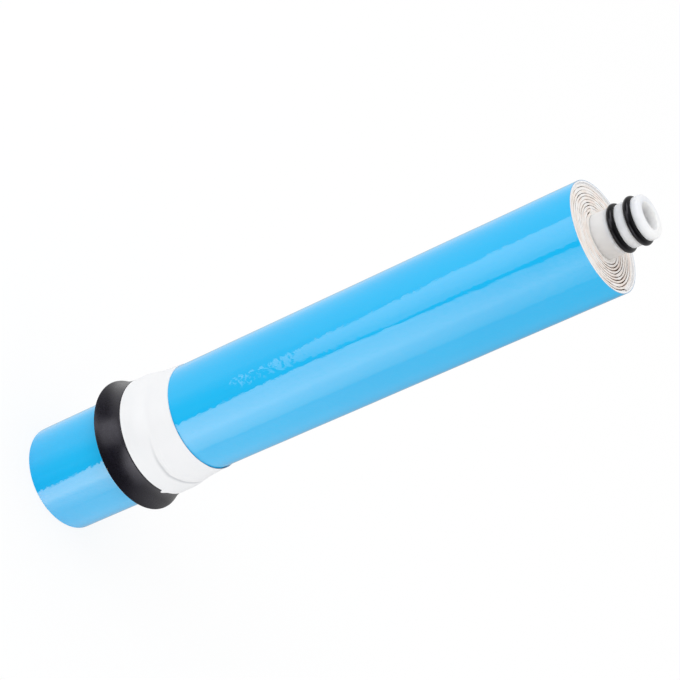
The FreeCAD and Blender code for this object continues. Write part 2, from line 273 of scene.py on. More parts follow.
class NodeBoard:
    """Short ways to place and link nodes in one node tree."""

    def __init__(self, tree: bpy.types.NodeTree) -> None:
        """Keeps the tree that the nodes go into."""
        self.tree = tree

    def add(self, kind: str, inputs: dict | None = None, **settings: object) -> bpy.types.Node:
        """Places a node.

        Args:
            kind: the node's type without "ShaderNode".
            inputs: for each input's name or number, a value or a socket to link.
            settings: the node's own properties.

        Returns:
            The node.
        """
        node = self.tree.nodes.new(f"ShaderNode{kind}")
        for key, value in settings.items():
            setattr(node, key, value)
        for key, value in (inputs or {}).items():
            if isinstance(value, Socket):
                self.tree.links.new(value, node.inputs[key])
            else:
                node.inputs[key].default_value = value
        return node

    def math(self, operation: str, *values: object) -> Socket:
        """A Math node of the given operation and inputs."""
        return self.add("Math", dict(enumerate(values)), operation=operation).outputs[0]

    def vector(self, operation: str, *values: object) -> bpy.types.Node:
        """A Vector Math node of the given operation and inputs."""
        return self.add("VectorMath", dict(enumerate(values)), operation=operation)

    def times(self, *values: object) -> Socket:
        """The product of two or more values."""
        return reduce(lambda first, second: self.math("MULTIPLY", first, second), values)

    def mix(self, factor: object, first: object, second: object) -> Socket:
        """Goes from the first level to the second as the factor rises."""
        return self.add("Mix", {0: factor, 2: first, 3: second}, data_type="FLOAT").outputs[0]

    def rest(self, value: Socket) -> Socket:
        """What a value leaves of 1."""
        return self.math("SUBTRACT", 1.0, value)

    def spread(self, value: Socket, source: Pair, target: Pair = (0, 1),
               smooth: bool = False) -> Socket:
        """Maps a value from one range to another.

        Args:
            value: the value to map.
            source: the range's two ends, of which the second may be the lower one.
            target: what they become.
            smooth: whether the rise is a smoothstep.

        Returns:
            The mapped value.
        """
        kind = "SMOOTHSTEP" if smooth else "LINEAR"
        inputs = {"Value": value, "From Min": source[0], "From Max": source[1],
                  "To Min": target[0], "To Max": target[1]}
        return self.add("MapRange", inputs, interpolation_type=kind).outputs[0]


class Coat(NodeBoard):
    """A material in the making: a Principled shader and what feeds it."""

    def __init__(self, name: str, roughness: float, ior: float = 1.5) -> None:
        """Starts a material.

        Args:
            name: the material's name.
            roughness: its roughness, where nothing is linked to it later.
            ior: its index of refraction.
        """
        self.material = bpy.data.materials.new(name)
        self.material.use_nodes = True
        super().__init__(self.material.node_tree)
        self.shader = self.tree.nodes["Principled BSDF"]
        self.fix({"Roughness": roughness, "IOR": ior})
        self.place = self.add("TexCoord").outputs["Object"]

    def fix(self, values: dict[str, object]) -> None:
        """Sets inputs of the shader that are the same all over the surface."""
        for socket, value in values.items():
            self.shader.inputs[socket].default_value = value

    def noise(self, size: float, detail: float = 2.0, stretch: Place = (1, 1, 1)) -> Socket:
        """Noise whose grains are about size millimetres wide.

        Args:
            size: the grain in millimetres.
            detail: the number of finer layers.
            stretch: how much longer the grains are along X, Y and Z.

        Returns:
            Values near 0.5.
        """
        scale = tuple(1 / (size * MM * length) for length in stretch)
        where = self.add("Mapping", {"Vector": self.place, "Scale": scale}).outputs[0]
        return self.grains(where, detail)

    def streaks(self, width: float, length: float, detail: float = 2.0) -> Socket:
        """Noise whose grains run round the axis.

        Args:
            width: their size along the radius and the axis, in millimetres.
            length: their size round the axis, in degrees.
            detail: the number of finer layers.

        Returns:
            Values near 0.5.
        """
        x, y, z = self.add("SeparateXYZ", {0: self.place}).outputs
        turn = self.math("ARCTAN2", x, self.times(y, -1.0))
        parts = {0: self.math("DIVIDE", self.radius(), width * MM),
                 1: self.math("DIVIDE", turn, math.radians(length)),
                 2: self.math("DIVIDE", z, width * MM)}
        where = self.add("CombineXYZ", parts).outputs[0]
        return self.grains(where, detail)

    def grains(self, where: Socket, detail: float) -> Socket:
        """Noise with grains one unit wide in the given coordinates."""
        inputs = {"Vector": where, "Scale": 1.0, "Detail": detail}
        return self.add("TexNoise", inputs).outputs["Fac"]

    def radius(self) -> Socket:
        """The distance from the axis in metres."""
        flat = self.vector("MULTIPLY", self.place, (1, 1, 0)).outputs[0]
        return self.vector("LENGTH", flat).outputs["Value"]

    def height(self) -> Socket:
        """The height above the origin in metres."""
        return self.add("SeparateXYZ", {0: self.place}).outputs["Z"]

    def across(self) -> Socket:
        """The distance to the right of the axis, along X, in metres."""
        return self.add("SeparateXYZ", {0: self.place}).outputs["X"]

    def rise(self, length: Socket, start: float, end: float) -> Socket:
        """Goes from 0 at start to 1 at end, both in millimetres, whichever is the greater."""
        return self.spread(length, (start * MM, end * MM))

    def blend(self, factor: object, first: object, second: object) -> Socket:
        """Mixes two colours, each written as three numbers or given by a socket."""
        ends = [value if isinstance(value, Socket) else (*value, 1) for value in (first, second)]
        return self.add("Mix", {0: factor, 6: ends[0], 7: ends[1]}, data_type="RGBA").outputs[2]

    def feed(self, socket: str, value: Socket) -> None:
        """Links a value to one of the shader's inputs."""
        self.tree.links.new(value, self.shader.inputs[socket])

    def emboss(self, height: Socket, depth: float) -> None:
        """Raises the surface by height, of which 1 stands for depth millimetres."""
        bump = self.add("Bump", {"Height": height, "Distance": depth * MM, "Strength": 1.0})
        self.feed("Normal", bump.outputs[0])


@dataclass(frozen=True)
class FilmFinish:
    """Glossy blue film, pale where it is cut, with a fine orange peel."""

    colour: Colour = (0.004, 0.525, 0.96)
    deeper: Colour = (0.003, 0.505, 0.94)
    sheen: Colour = (1.0, 0.72, 0.45)
    cut_edge: Colour = (0.8, 0.84, 0.88)
    cut_skin: Colour = (0.2, 0.38, 0.6)
    cut_depth: Pair = (0.03, 0.005)
    rough: Pair = (0.03, 0.06)
    length: float = 260.4
    skin_radius: float = 21.84
    peel: float = 0.04
    wrinkle: float = 0.01

    def build(self) -> Material:
        """Builds the film's material.

        Returns:
            The material.
        """
        coat = Coat("film_gloss", self.rough[0])
        cloud = coat.spread(coat.noise(22, 3, (1, 1, 3)), (0.35, 0.65))
        body = coat.blend(cloud, self.colour, self.deeper)
        height, (start, end) = coat.height(), self.cut_depth
        top = coat.rise(height, self.length - start, self.length - end)
        foot = coat.rise(height, start, end)
        skin = coat.rise(coat.radius(), self.skin_radius, self.skin_radius + 0.05)
        cut = coat.blend(skin, self.cut_edge, self.cut_skin)
        coat.feed("Base Color", coat.blend(coat.math("MAXIMUM", top, foot), body, cut))
        scuffs = coat.noise(5, 4, (1, 1, 4))
        coat.feed("Roughness", coat.spread(scuffs, (0.5, 0.8), self.rough))
        coat.fix({"Specular Tint": (*self.sheen, 1)})
        fine = coat.times(coat.noise(1.7, 1.5, (1, 1, 1.7)), self.peel)
        broad = coat.times(coat.noise(6.5, 1.0, (1, 1, 2.2)), self.wrinkle)
        coat.emboss(coat.math("ADD", fine, broad), 1.0)
        return coat.material


@dataclass(frozen=True)
class TapeFinish:
    """White tape with a soft sheen, paler towards +X by painted light, greyer in its fold and dark
    blue-grey at its cut end by painted shade.
    """

    colour: Colour = (0.905, 0.908, 0.92)
    shade: Colour = (0.893, 0.897, 0.911)
    # painted light: the colour that the tape turns to towards +X
    painted_light_side: Colour = (0.945, 0.948, 0.96)
    # painted shade: the grey laid into the tape's fold
    fold_shade: Colour = (0.68, 0.69, 0.71)
    # painted shade: the tape's cut end is a dark blue-grey, weaker towards -X
    cut_edge: Colour = (0.42, 0.49, 0.58)
    cut_skin: float = 0.02
    cut_shade_sides: Pair = (-15.0, -3.0)
    end: float = 74.6
    roughness: float = 0.5
    rough: Pair = (0.42, 0.55)
    weave: float = 0.003

    def build(self, name: str, fold_shade_mark: str = "") -> Material:
        """Builds the tape's material.

        Args:
            name: the material's name.
            fold_shade_mark: the mesh attribute that is 1 in a fold, if the piece has one.

        Returns:
            The material.
        """
        coat = Coat(name, self.roughness, 1.42)
        cloud = coat.spread(coat.noise(7, 3), (0.35, 0.7))
        body = coat.blend(cloud, self.colour, self.shade)
        across, height = coat.across(), coat.height()
        # Painted light: the tape turns paler towards +X.
        body = coat.blend(coat.rise(across, -4, 16), body, self.painted_light_side)
        # Painted shade: grey in the fold, where the mesh's attribute marks it.
        if fold_shade_mark:
            fold = coat.add("Attribute", attribute_name=fold_shade_mark).outputs["Fac"]
            body = coat.blend(fold, body, self.fold_shade)
        # Painted shade: the cut end of the tape is dark blue-grey, down to 0.3 of it towards -X.
        near = coat.rise(height, self.end - self.cut_skin, self.end - self.cut_skin / 2)
        beyond = coat.rise(height, self.end + 2, self.end + 1)
        front = coat.spread(across, (self.cut_shade_sides[0] * MM, self.cut_shade_sides[1] * MM), (0.3, 1))
        coat.feed("Base Color", coat.blend(coat.times(near, beyond, front), body, self.cut_edge))
        coat.feed("Roughness", coat.spread(coat.noise(3, 2), (0.3, 0.7), self.rough))
        coat.emboss(coat.noise(2.2, 2, (1.6, 1.6, 0.6)), self.weave)
        return coat.material


@dataclass(frozen=True)
class RubberFinish:
    """Black rubber with a satin skin."""

    colour: Colour = (0.0034, 0.0028, 0.006)
    bloom: Colour = (0.005, 0.0042, 0.009)
    sheen: Colour = (0.92, 0.9, 1.0)
    rough: Pair = (0.24, 0.32)
    grain: float = 0.35
    relief: float = 0.003
    ior: float = 1.38

    def build(self, name: str) -> Material:
        """Builds the rubber's material.

        Args:
            name: the material's name.

        Returns:
            The material.
        """
        coat = Coat(name, self.rough[1], self.ior)
        cloud = coat.spread(coat.noise(4, 4), (0.4, 0.75))
        coat.feed("Base Color", coat.blend(cloud, self.colour, self.bloom))
        coat.feed("Roughness", coat.spread(coat.noise(1.5, 3), (0.3, 0.7), self.rough))
        coat.fix({"Specular Tint": (*self.sheen, 1)})
        coat.emboss(coat.noise(self.grain, 2), self.relief)
        return coat.material


@dataclass(frozen=True)
class LeafFinish:
    """Cream membrane and cloth, paler where the cut is glued, pinkish in patches, and brown on its
    sides below the cut faces as painted shade in the gaps.
    """

    cream: Colour = (0.9, 0.83, 0.77)
    pink: Colour = (0.91, 0.79, 0.73)
    glue: Colour = (0.925, 0.905, 0.89)
    # painted shade: the leaf's sides, seen down the gaps between turns
    side: Colour = (0.58, 0.41, 0.29)
    rim: Colour = (0.91, 0.9, 0.89)
    rim_radii: Pair = (20.0, 20.7)
    foot: Pair = (1.25, 0.85)
    top: Pair = (259.15, 259.55)
    relief: float = 0.015

    def build(self, name: str) -> Material:
        """Builds the leaf's material.

        Args:
            name: the material's name.

        Returns:
            The material.
        """
        coat = Coat(name, 0.7)
        patch = coat.spread(coat.streaks(0.9, 16), (0.5, 0.64))
        pale = coat.spread(coat.streaks(1.3, 24, 3), (0.47, 0.6))
        tinted = coat.blend(pale, coat.blend(patch, self.cream, self.pink), self.glue)
        cut = coat.blend(coat.rise(coat.radius(), *self.rim_radii), tinted, self.rim)
        height = coat.height()
        # Painted shade: away from the cut faces the leaf is brown.
        faces = coat.math("MAXIMUM", coat.rise(height, *self.top), coat.rise(height, *self.foot))
        coat.feed("Base Color", coat.blend(faces, self.side, cut))
        coat.emboss(coat.noise(0.35, 2), self.relief)
        return coat.material


@dataclass(frozen=True)
class ClothFinish:
    """Knitted cloth: cream, with fine ribs along the tube."""

    light: Colour = (0.9, 0.88, 0.85)
    dark: Colour = (0.8, 0.77, 0.73)
    rib: float = 0.5
    relief: float = 0.15

    def build(self) -> Material:
        """Builds the cloth's material.

        Returns:
            The material.
        """
        coat = Coat("carrier_knit", 0.85)
        grain = coat.noise(self.rib, 1, (1, 1, 2))
        shade = coat.spread(grain, (0.35, 0.65))
        coat.feed("Base Color", coat.blend(shade, self.dark, self.light))
        coat.emboss(grain, self.relief)
        return coat.material


@dataclass(frozen=True)
class NettingFinish:
    """Netting of clear plastic, painted brown as shade in the depth of the roll."""

    # painted shade: both colours stand for clear netting in the shade of the gaps
    lit: Colour = (0.5, 0.36, 0.26)
    deep_shade: Colour = (0.16, 0.09, 0.055)
    relief: float = 0.2

    def build(self, name: str) -> Material:
        """Builds the netting's material.

        Args:
            name: the material's name.

        Returns:
            The material.
        """
        coat = Coat(name, 0.5)
        grain = coat.spread(coat.noise(1.2, 2), (0.4, 0.6))
        # Painted shade: the netting is brown, darker or lighter by grain.
        coat.feed("Base Color", coat.blend(grain, self.deep_shade, self.lit))
        coat.emboss(grain, self.relief)
        return coat.material


@dataclass(frozen=True)
class MouldedFinish:
    """White moulded plastic with a satin skin and a trace of flow marks, paler towards +X and in
    the bore by painted light, greyer on the collar by painted shade.
    """

    # painted shade and light: the skin's colour towards -X, then towards +X, and where it turns
    colour: Colour = (0.765, 0.785, 0.835)
    painted_lit_side: Colour = (0.94, 0.945, 0.965)
    painted_lit_from: Pair = (-3.0, 7.0)
    # painted light: the bore is paler than the plastic outside
    bore_painted_light: Colour = (0.97, 0.97, 0.975)
    bore_radii: Pair = (5.66, 5.36)
    # painted shade: the collar next to the roll, below the shoulder, greyer and warmer towards +X
    collar: Colour = (0.85, 0.86, 0.87)
    collar_painted_shade: Colour = (0.73, 0.71, 0.69)
    collar_shade_from: Pair = (-8.0, 8.0)
    shoulder: Pair = (265.1, 266.6)
    scatter: Colour = (1.0, 0.97, 0.93)
    depth: float = 5.0
    roughness: float = 0.36
    rough: Pair = (0.3, 0.42)
    relief: float = 0.002

    def build(self) -> Material:
        """Builds the tube's material.

        Returns:
            The material.
        """
        coat = Coat("tube_moulded", self.roughness, 1.46)
        across = coat.across()
        # Painted light: the skin turns paler towards +X, with flow marks on top.
        flow = coat.spread(coat.noise(6, 2, (1, 1, 3)), (0.35, 0.7), (-0.1, 0.1))
        flow = coat.math("ADD", coat.rise(across, *self.painted_lit_from), flow)
        # Painted shade: below the shoulder the collar is greyer towards +X.
        collar_shade_side = coat.rise(across, *self.collar_shade_from)
        collar = coat.blend(collar_shade_side, self.collar, self.collar_painted_shade)
        upper = coat.rise(coat.height(), *self.shoulder)
        skin = coat.blend(upper, collar, coat.blend(flow, self.colour, self.painted_lit_side))
        # Painted light: the bore's wall is paler.
        inside = coat.rise(coat.radius(), *self.bore_radii)
        coat.feed("Base Color", coat.blend(inside, skin, self.bore_painted_light))
        coat.fix({"Subsurface Weight": 1.0, "Subsurface Radius": self.scatter,
                  "Subsurface Scale": self.depth * MM})
        coat.feed("Roughness", coat.spread(coat.noise(2, 3), (0.3, 0.7), self.rough))
        coat.emboss(coat.noise(0.8, 2), self.relief)
        return coat.material


# ---- Sub-assemblies ----


@dataclass
class FilmWrap:
    """The blue film round the whole roll, with its lapped edge on the hidden side."""

    length: float = 260.4
    inner: float = 21.7
    outer: float = 22.05
    skin: float = 0.05
    edge_round: float = 0.06
    lap_angle: float = 158.0
    lap_width: float = 0.06
    lap_step: float = 0.12
    lap_run: float = 50.0
    calm_end: float = 4.0
    first_station: float = 1.0
    stations_round: int = 240
    stations_along: int = 200
    slack: Ripples = Ripples(Wave.FILM_SLACK, 40, 14, (9, 70), 0.0028, 22.05)

    def lap(self, angle: Array) -> Array:
        """How far the film lies below its full radius: a step at the lap that fades past it."""
        past = (np.degrees(angle) - self.lap_angle) % 360
        return self.lap_step * (1 - smoothstep(0, self.lap_run, past))

    def build(self, finish: FilmFinish) -> Object:
        """Builds the film as a closed shell.

        The outline is carried round the axis. Its outer side lies at
        outer − lap(angle) + ripples(angle, z), calm near both ends.

        Args:
            finish: the film's finish.

        Returns:
            The piece.
        """
        even = np.arange(self.stations_round) * (360 / self.stations_round) - 180
        lap_pair = [self.lap_angle - self.lap_width / 2, self.lap_angle + self.lap_width / 2]
        angle = np.radians(np.sort(np.append(even, lap_pair)))[:, None]
        ends = ((self.inner, 0), (self.outer, 0),
                (self.outer, self.length), (self.inner, self.length))
        edge = rounded_outline([(*end, self.edge_round) for end in ends])
        half = len(edge) // 2
        last_station = self.length - self.first_station
        rows = np.linspace(self.first_station, last_station, self.stations_along)
        side = np.stack([np.full_like(rows, self.outer), rows], axis=1)
        radius, z = np.vstack([edge[:half], side, edge[half:]]).T
        on_outside = smoothstep(self.inner + self.skin, self.outer - self.skin, radius)
        calm = smoothstep(0, self.calm_end, z) * smoothstep(0, self.calm_end, self.length - z)
        relief = self.slack.height(angle, z) * calm - self.lap(angle)
        points = around(radius + relief * on_outside, angle, z)
        piece = add_piece("film_wrap", points)
        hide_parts("body_wrap")
        dress(piece, finish.build())
        return piece


@dataclass
class SealFit:
    """The sizes that the seal and its tape share: sleeve, bevel and tail, on the film."""

    bevel_start: float = 58.0
    tail_start: float = 62.8
    tail_end: float = 65.5
    sleeve_radius: float = 24.15
    tail_radius: float = 22.8
    wrap_radius: float = 22.05
    lift: float = 0.3
    drop: float = 0.6

    def slant(self, angle: Array) -> Array:
        """How far the slanting seal moves along the axis: lift − drop·sin(angle)."""
        return self.lift - self.drop * np.sin(angle)


@dataclass
class SealTape(SealFit):
    """The white tape that is wound over the seal's sleeve and down onto the film.

    Pairs say where a smooth rise starts and ends, in degrees round the axis,
    but neck in height and skin in thickness.
    """

    sleeve_start: float = 50.9
    land_start: float = 73.0
    end: float = 74.6
    thickness: float = 0.3
    skin: Pair = (0.05, 0.25)
    longest_side: float = 0.3
    crease_depth: float = 0.24
    crease_width: float = 0.6
    crease_ridge: float = 0.34
    crease_from: Pair = (-10, 34)
    crease_until: Pair = (160, 110)
    crease_path = ((-180, 62), (-15, 62.4), (0, 61.8), (20, 60.4), (42, 59.7), (57, 60.6),
                   (70, 61.2), (180, 62))
    fold_shade_mark: str = "fold"
    # painted shade in the fold: how far below the crease its band sits and how narrow it is
    fold_shade_below: float = 0.2
    fold_shade_narrowed: float = 1.6
    edge_lift: float = 0.16
    flat_until: Pair = (30, -50)
    flat_from: Pair = (110, 150)
    lap: Pair = (55.5, 56.5)
    lap_stations: Pair = (55.8, 56.3)
    lap_fade: Pair = (150, 95.5)
    lap_layer: float = 0.12
    neck: Pair = (53.1, 51.3)
    neck_share: float = 0.3
    tongue: Pair = (64.5, 57.5)
    tongue_reach: float = 1.1
    stations_round: int = 240
    drape: Ripples = Ripples(Wave.TAPE_DRAPE, 16, 9, (8, 30), 0.003, 24.15)

    def outline(self) -> Array:
        """The section of the tape, with edges that are soft outside and crisp at its ends.

        Returns:
            Points (radius, height), one row each.
        """
        t, lifted = self.thickness, self.wrap_radius + self.edge_lift
        corners = [
            (self.sleeve_radius, self.sleeve_start, 0.03),
            (self.sleeve_radius, self.bevel_start, 1.2),
            (self.tail_radius, self.tail_start, 0.9),
            (self.tail_radius - 0.02, self.tail_end, 0.6),
            (self.wrap_radius, self.land_start, 0.5),
            (lifted, self.end, 0.03),
            (lifted + t - 0.04, self.end, 0.07),
            (self.wrap_radius + t + 0.04, self.land_start, 0.6),
            (self.tail_radius + t, self.tail_end, 0.95),
            (self.tail_radius + t, self.tail_start, 0.95),
            (self.sleeve_radius + t, self.bevel_start, 2.0),
            (self.sleeve_radius + t, self.sleeve_start, 0.1),
        ]
        return subdivided(rounded_outline(corners, 6), self.longest_side)

    def build(self, finish: TapeFinish) -> Object:
        """Builds the tape as a closed ring.

        Its section is carried round the axis and follows the seal's slant, less
        and less towards its free edge. Outside, a crease of the form
        depth·exp(−((z − path(angle))/width)²), with a like ridge two widths
        above it, starts in front and deepens to the side. The free edge stands
        off the film there too, by edge_lift. Past the lap a second layer stands
        proud, and its corner, the tongue, reaches a little over the seal's neck.

        Args:
            finish: the tape's finish.

        Returns:
            The piece.
        """
        even = np.linspace(-180, 180, self.stations_round, endpoint=False)
        degrees = np.sort(np.append(even, self.lap_stations))[:, None]
        angle = np.radians(degrees)
        radius, z = self.outline().T
        under = np.interp(z, (self.bevel_start, self.tail_start, self.tail_end, self.land_start),
                          (self.sleeve_radius, self.tail_radius, self.tail_radius,
                           self.wrap_radius))
        outside = smoothstep(*self.skin, radius - under)
        above = (z - np.interp(degrees, *np.array(self.crease_path).T)) / self.crease_width
        side = smoothstep(*self.crease_from, degrees) * smoothstep(*self.crease_until, degrees)
        dent = self.crease_depth * np.exp(-above ** 2)
        ridge = self.crease_ridge * np.exp(-(above - 2) ** 2)
        second = smoothstep(*self.lap, degrees) * smoothstep(*self.lap_fade, degrees)
        layers = self.lap_layer * second - (dent - ridge) * side
        neck = second * smoothstep(*self.neck, z)
        tongue = smoothstep(*self.tongue, degrees)
        flat = smoothstep(*self.flat_until, degrees) + smoothstep(*self.flat_from, degrees)
        landed = np.clip((z - self.land_start) / (self.end - self.land_start), 0, 1)
        shift = (self.drape.height(angle, z) + layers) * outside - self.edge_lift * flat * landed
        shift += self.thickness * neck * (self.neck_share + (1 - self.neck_share) * tongue)
        slant = self.slant(angle) * smoothstep(self.land_start, self.tail_end, z)
        along = z + slant - self.tongue_reach * neck * tongue
        points = around(radius + shift, angle, along)
        piece = add_piece("tape_band", points)
        # Painted shade: a grey band just under the crease, strongest where the crease is.
        fold_shade = np.exp(-self.fold_shade_narrowed * (above + self.fold_shade_below) ** 2) * side * outside
        fold = piece.data.attributes.new(self.fold_shade_mark, "FLOAT", "POINT")
        fold.data.foreach_set("value", fold_shade.ravel())
        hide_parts("seal_tape")
        dress(piece, finish.build("tape_white", self.fold_shade_mark))
        return piece


@dataclass
class BrineSeal(SealFit):
    """The rubber seal: a trumpet-shaped lip and a sleeve under the tape."""

    lip_height: float = 39.8
    lip_radius: float = 27.6
    lip_wall: float = 1.3
    lip_inset: float = 0.16
    lip_steps: int = 6
    outer_span: Pair = (50.75, 40.35)
    inner_span: Pair = (47.4, 40.3)
    neck_height: float = 50.9
    neck_radius: float = 24.45
    hollow_end: float = 47.8
    stations_round: int = 180
    stations_flare: int = 26

    def flare(self, wall: float, span: Pair) -> Array:
        """Points of the lip's curve, an arc that leaves the neck level with the axis.

        With the arc's radius b, the curve is
        neck + b − √((b + wall)² − (z − neck height)²).

        Args:
            wall: how far inside the outer side the curve lies.
            span: the heights where it starts and ends.

        Returns:
            Points (radius, height), one row each.
        """
        reach = self.neck_height - self.lip_height
        rise = self.lip_radius - self.neck_radius
        bend = (reach ** 2 + rise ** 2) / (2 * rise)
        z = np.linspace(*span, self.stations_flare)
        depth = np.sqrt((bend + wall) ** 2 - (self.neck_height - z) ** 2)
        return np.stack([self.neck_radius + bend - depth, z], axis=1)

    def build(self, finish: RubberFinish) -> Object:
        """Builds the seal as a closed ring: its section, carried round the axis with a slant.

        Args:
            finish: the rubber's finish.

        Returns:
            The piece.
        """
        outer = self.flare(0, self.outer_span)
        inner = self.flare(self.lip_wall, self.inner_span)[::-1]
        lip = rounded_outline([
            (*outer[-1], 0.02),
            (self.lip_radius, self.lip_height, 0.4),
            (inner[0][0] + self.lip_inset, self.lip_height, 0.4),
            (*inner[0], 0.02),
        ], self.lip_steps)
        sleeve = rounded_outline([
            (self.wrap_radius, self.hollow_end, 0.3),
            (self.wrap_radius, self.tail_end, 0.02),
            (self.tail_radius, self.tail_end, 0.1),
            (self.tail_radius, self.tail_start, 0.3),
            (self.sleeve_radius, self.bevel_start, 0.3),
            (self.sleeve_radius, self.neck_height, 0.02),
            (self.neck_radius, self.neck_height, 0.12),
        ], 4)
        # Only the lip's two free corners; its first and last ones are ends of the flares.
        corner = self.lip_steps + 3
        section = np.vstack([outer, lip[corner - 1:3 * corner - 1], inner, sleeve])
        angle = np.radians(np.linspace(-180, 180, self.stations_round, endpoint=False))[:, None]
        points = around(section[:, 0], angle, section[:, 1] + self.slant(angle))
        piece = add_piece("seal_ring", points)
        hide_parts("brine_seal")
        dress(piece, finish.build("seal_satin"))
        return piece


@dataclass
class WoundRoll:
    """The leaf wound on the tube, with the ends of the netting's strands in its gaps."""

    core: float = 9.0
    pitch: float = 1.22
    leaf: float = 0.55
    half_turns: int = 19
    low: float = 0.5
    high: float = 259.9
    edge_round: float = 0.16
    band: float = 0.3
    band_round: float = 0.12
    flare_depth: float = 0.9
    flare_round: float = 0.2
    gap_front: float = 0.14
    gap_left: float = 0.18
    gap_right: float = 0.45
    gap_side: Pair = (0.3, 0.95)
    spread_limits: Pair = (0.1, 0.6)
    lifted_from: Pair = (250, 258)
    lifted_until: Pair = (10, 2)
    sunk: float = 0.12
    room: float = 21.17
    steps: int = 96
    gap_waves: Ripples = Ripples(Wave.LEAF_GAP, 40, 60, (20, 60), 0.14, 15.0)
    edge_waves: Ripples = Ripples(Wave.LEAF_EDGE, 24, 90, (20, 60), 0.02, 15.0)
    wave_rate: float = 1.7
    setback: float = 1.0
    strand: float = 0.2
    strand_flat: float = 0.6
    strand_sides: int = 5
    strand_root: float = 0.6
    strand_every: float = 2.6
    strand_place: float = 0.34
    strand_apart: float = 0.13
    strand_stray: float = 0.5
    strand_reach: Pair = (0.05, 0.45)
    path_samples: int = 400

    def radius(self, turned: Array, offset: object) -> Array:
        """The winding's radius after an angle: half-turns that grow by (1 − cos)/2 each.

        Args:
            turned: the angle wound so far, in radians.
            offset: the distance above the core.

        Returns:
            The radius in millimetres.
        """
        half = np.floor(turned / np.pi)
        rest = turned - half * np.pi
        return self.core + offset + self.pitch * (half / 2 + (1 - np.cos(rest)) / 4)

    def section(self) -> Array:
        """The leaf's section, in which 1 beyond either side stands for its spread there.

        Returns:
            Points (offset, height), one row each.
        """
        depth, bend, band = self.flare_depth, self.flare_round, self.band_round
        return rounded_outline([
            (-1, self.low, self.edge_round),
            (self.leaf + 1, self.low, self.edge_round),
            (self.leaf + 1, self.low + self.band, band),
            (self.leaf, self.low + depth, bend),
            (self.leaf, self.high - depth, bend),
            (self.leaf + 1, self.high - self.band, band),
            (self.leaf + 1, self.high, self.edge_round),
            (-1, self.high, self.edge_round),
            (-1, self.high - self.band, band),
            (0, self.high - depth, bend),
            (0, self.low + depth, bend),
            (-1, self.low + self.band, band),
        ], 3)

    def build(self, finish: LeafFinish) -> Object:
        """Builds the leaf as a strip with a rounded section carried along the spiral.

        The cut edges spread on both sides, so that the gap between two turns
        narrows there to gap(angle), plus small waves; the last turn spreads up
        to the binding. They also rise and fall by a tenth of a millimetre or
        two along the spiral.

        Args:
            finish: the leaf's finish.

        Returns:
            The piece.
        """
        turned = np.linspace(0, self.half_turns * np.pi, self.half_turns * self.steps // 2)[:, None]
        offset, z = self.section().T
        angle = turned - np.pi / 2
        sideways = smoothstep(*self.gap_side, np.abs(np.sin(angle)))
        widest = np.where(np.sin(angle) > 0, self.gap_right, self.gap_left)
        waves = self.gap_waves.height(turned * self.wave_rate, 0.0)
        gap = self.gap_front + (widest - self.gap_front) * sideways + waves
        spread = np.clip(self.pitch - self.leaf - gap, *self.spread_limits) / 2
        inwards = spread * smoothstep(2 * np.pi, 2.2 * np.pi, turned)
        last_turn = (self.half_turns - 2) * np.pi
        free = self.room - self.radius(turned, self.leaf)
        outwards = spread + (free - spread) * smoothstep(last_turn, last_turn + 0.05, turned)
        plain = np.clip(offset, 0, self.leaf)
        extra = offset - plain
        wide = plain + np.where(extra > 0, outwards, inwards) * extra
        ends = smoothstep(*self.lifted_from, z) - smoothstep(*self.lifted_until, z)
        lift = (self.edge_waves.height(turned * self.wave_rate, 0.0) - self.sunk) * ends
        points = around(np.minimum(self.radius(turned, wide), self.room), angle, z + lift)
        rows, columns = points.shape[:2]
        number = np.arange(rows * columns).reshape(rows, columns)
        caps = [number[0].tolist(), number[-1, ::-1].tolist()]
        piece = add_piece("leaf_roll", points, quad_indices(rows, columns, False), caps)
        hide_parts("membrane_leaf")
        dress(piece, finish.build("leaf_cream"))
        return piece

    def build_strands(self, finish: NettingFinish) -> Object:
        """Builds the netting's strand ends at both faces, as short five-sided rods.

        Each rod leans to one side or the other in the gap between two turns
        and ends unevenly a little below the cut.

        Args:
            finish: the netting's finish.

        Returns:
            The piece.
        """
        draw = np.random.default_rng(Wave.NETTING.value)
        turns = np.linspace(0, (self.half_turns - 1) * np.pi, self.path_samples)
        mean = self.radius(turns, self.leaf)
        path = np.append(0, np.cumsum(mean[:-1])) * turns[-1] / (self.path_samples - 1)
        count = int(path[-1] / self.strand_every)
        spots = np.interp((np.arange(count) + 0.5) * self.strand_every, path, turns)
        stray = self.strand_stray / self.radius(spots, 0)
        rods = []
        for lean in (-1, 1):
            for end, up in ((self.low + self.setback, -1), (self.high - self.setback, 1)):
                turned = spots + draw.uniform(-1, 1, count) * stray
                reach = up * draw.uniform(*self.strand_reach, count)
                rods.append(self.rod_points(turned, lean, end, reach))
        points = np.concatenate(rods)
        number = np.arange(points.size // 3).reshape(points.shape[:3])
        beside = np.roll(number, -1, axis=2)
        quads = np.stack([number[:, 0], beside[:, 0], beside[:, 1], number[:, 1]], axis=-1)
        caps = [*number[:, 0, ::-1].tolist(), *number[:, 1].tolist()]
        piece = add_piece("netting_ends", points, quads.reshape(-1, 4), caps)
        dress(piece, finish.build("netting_strand"))
        return piece

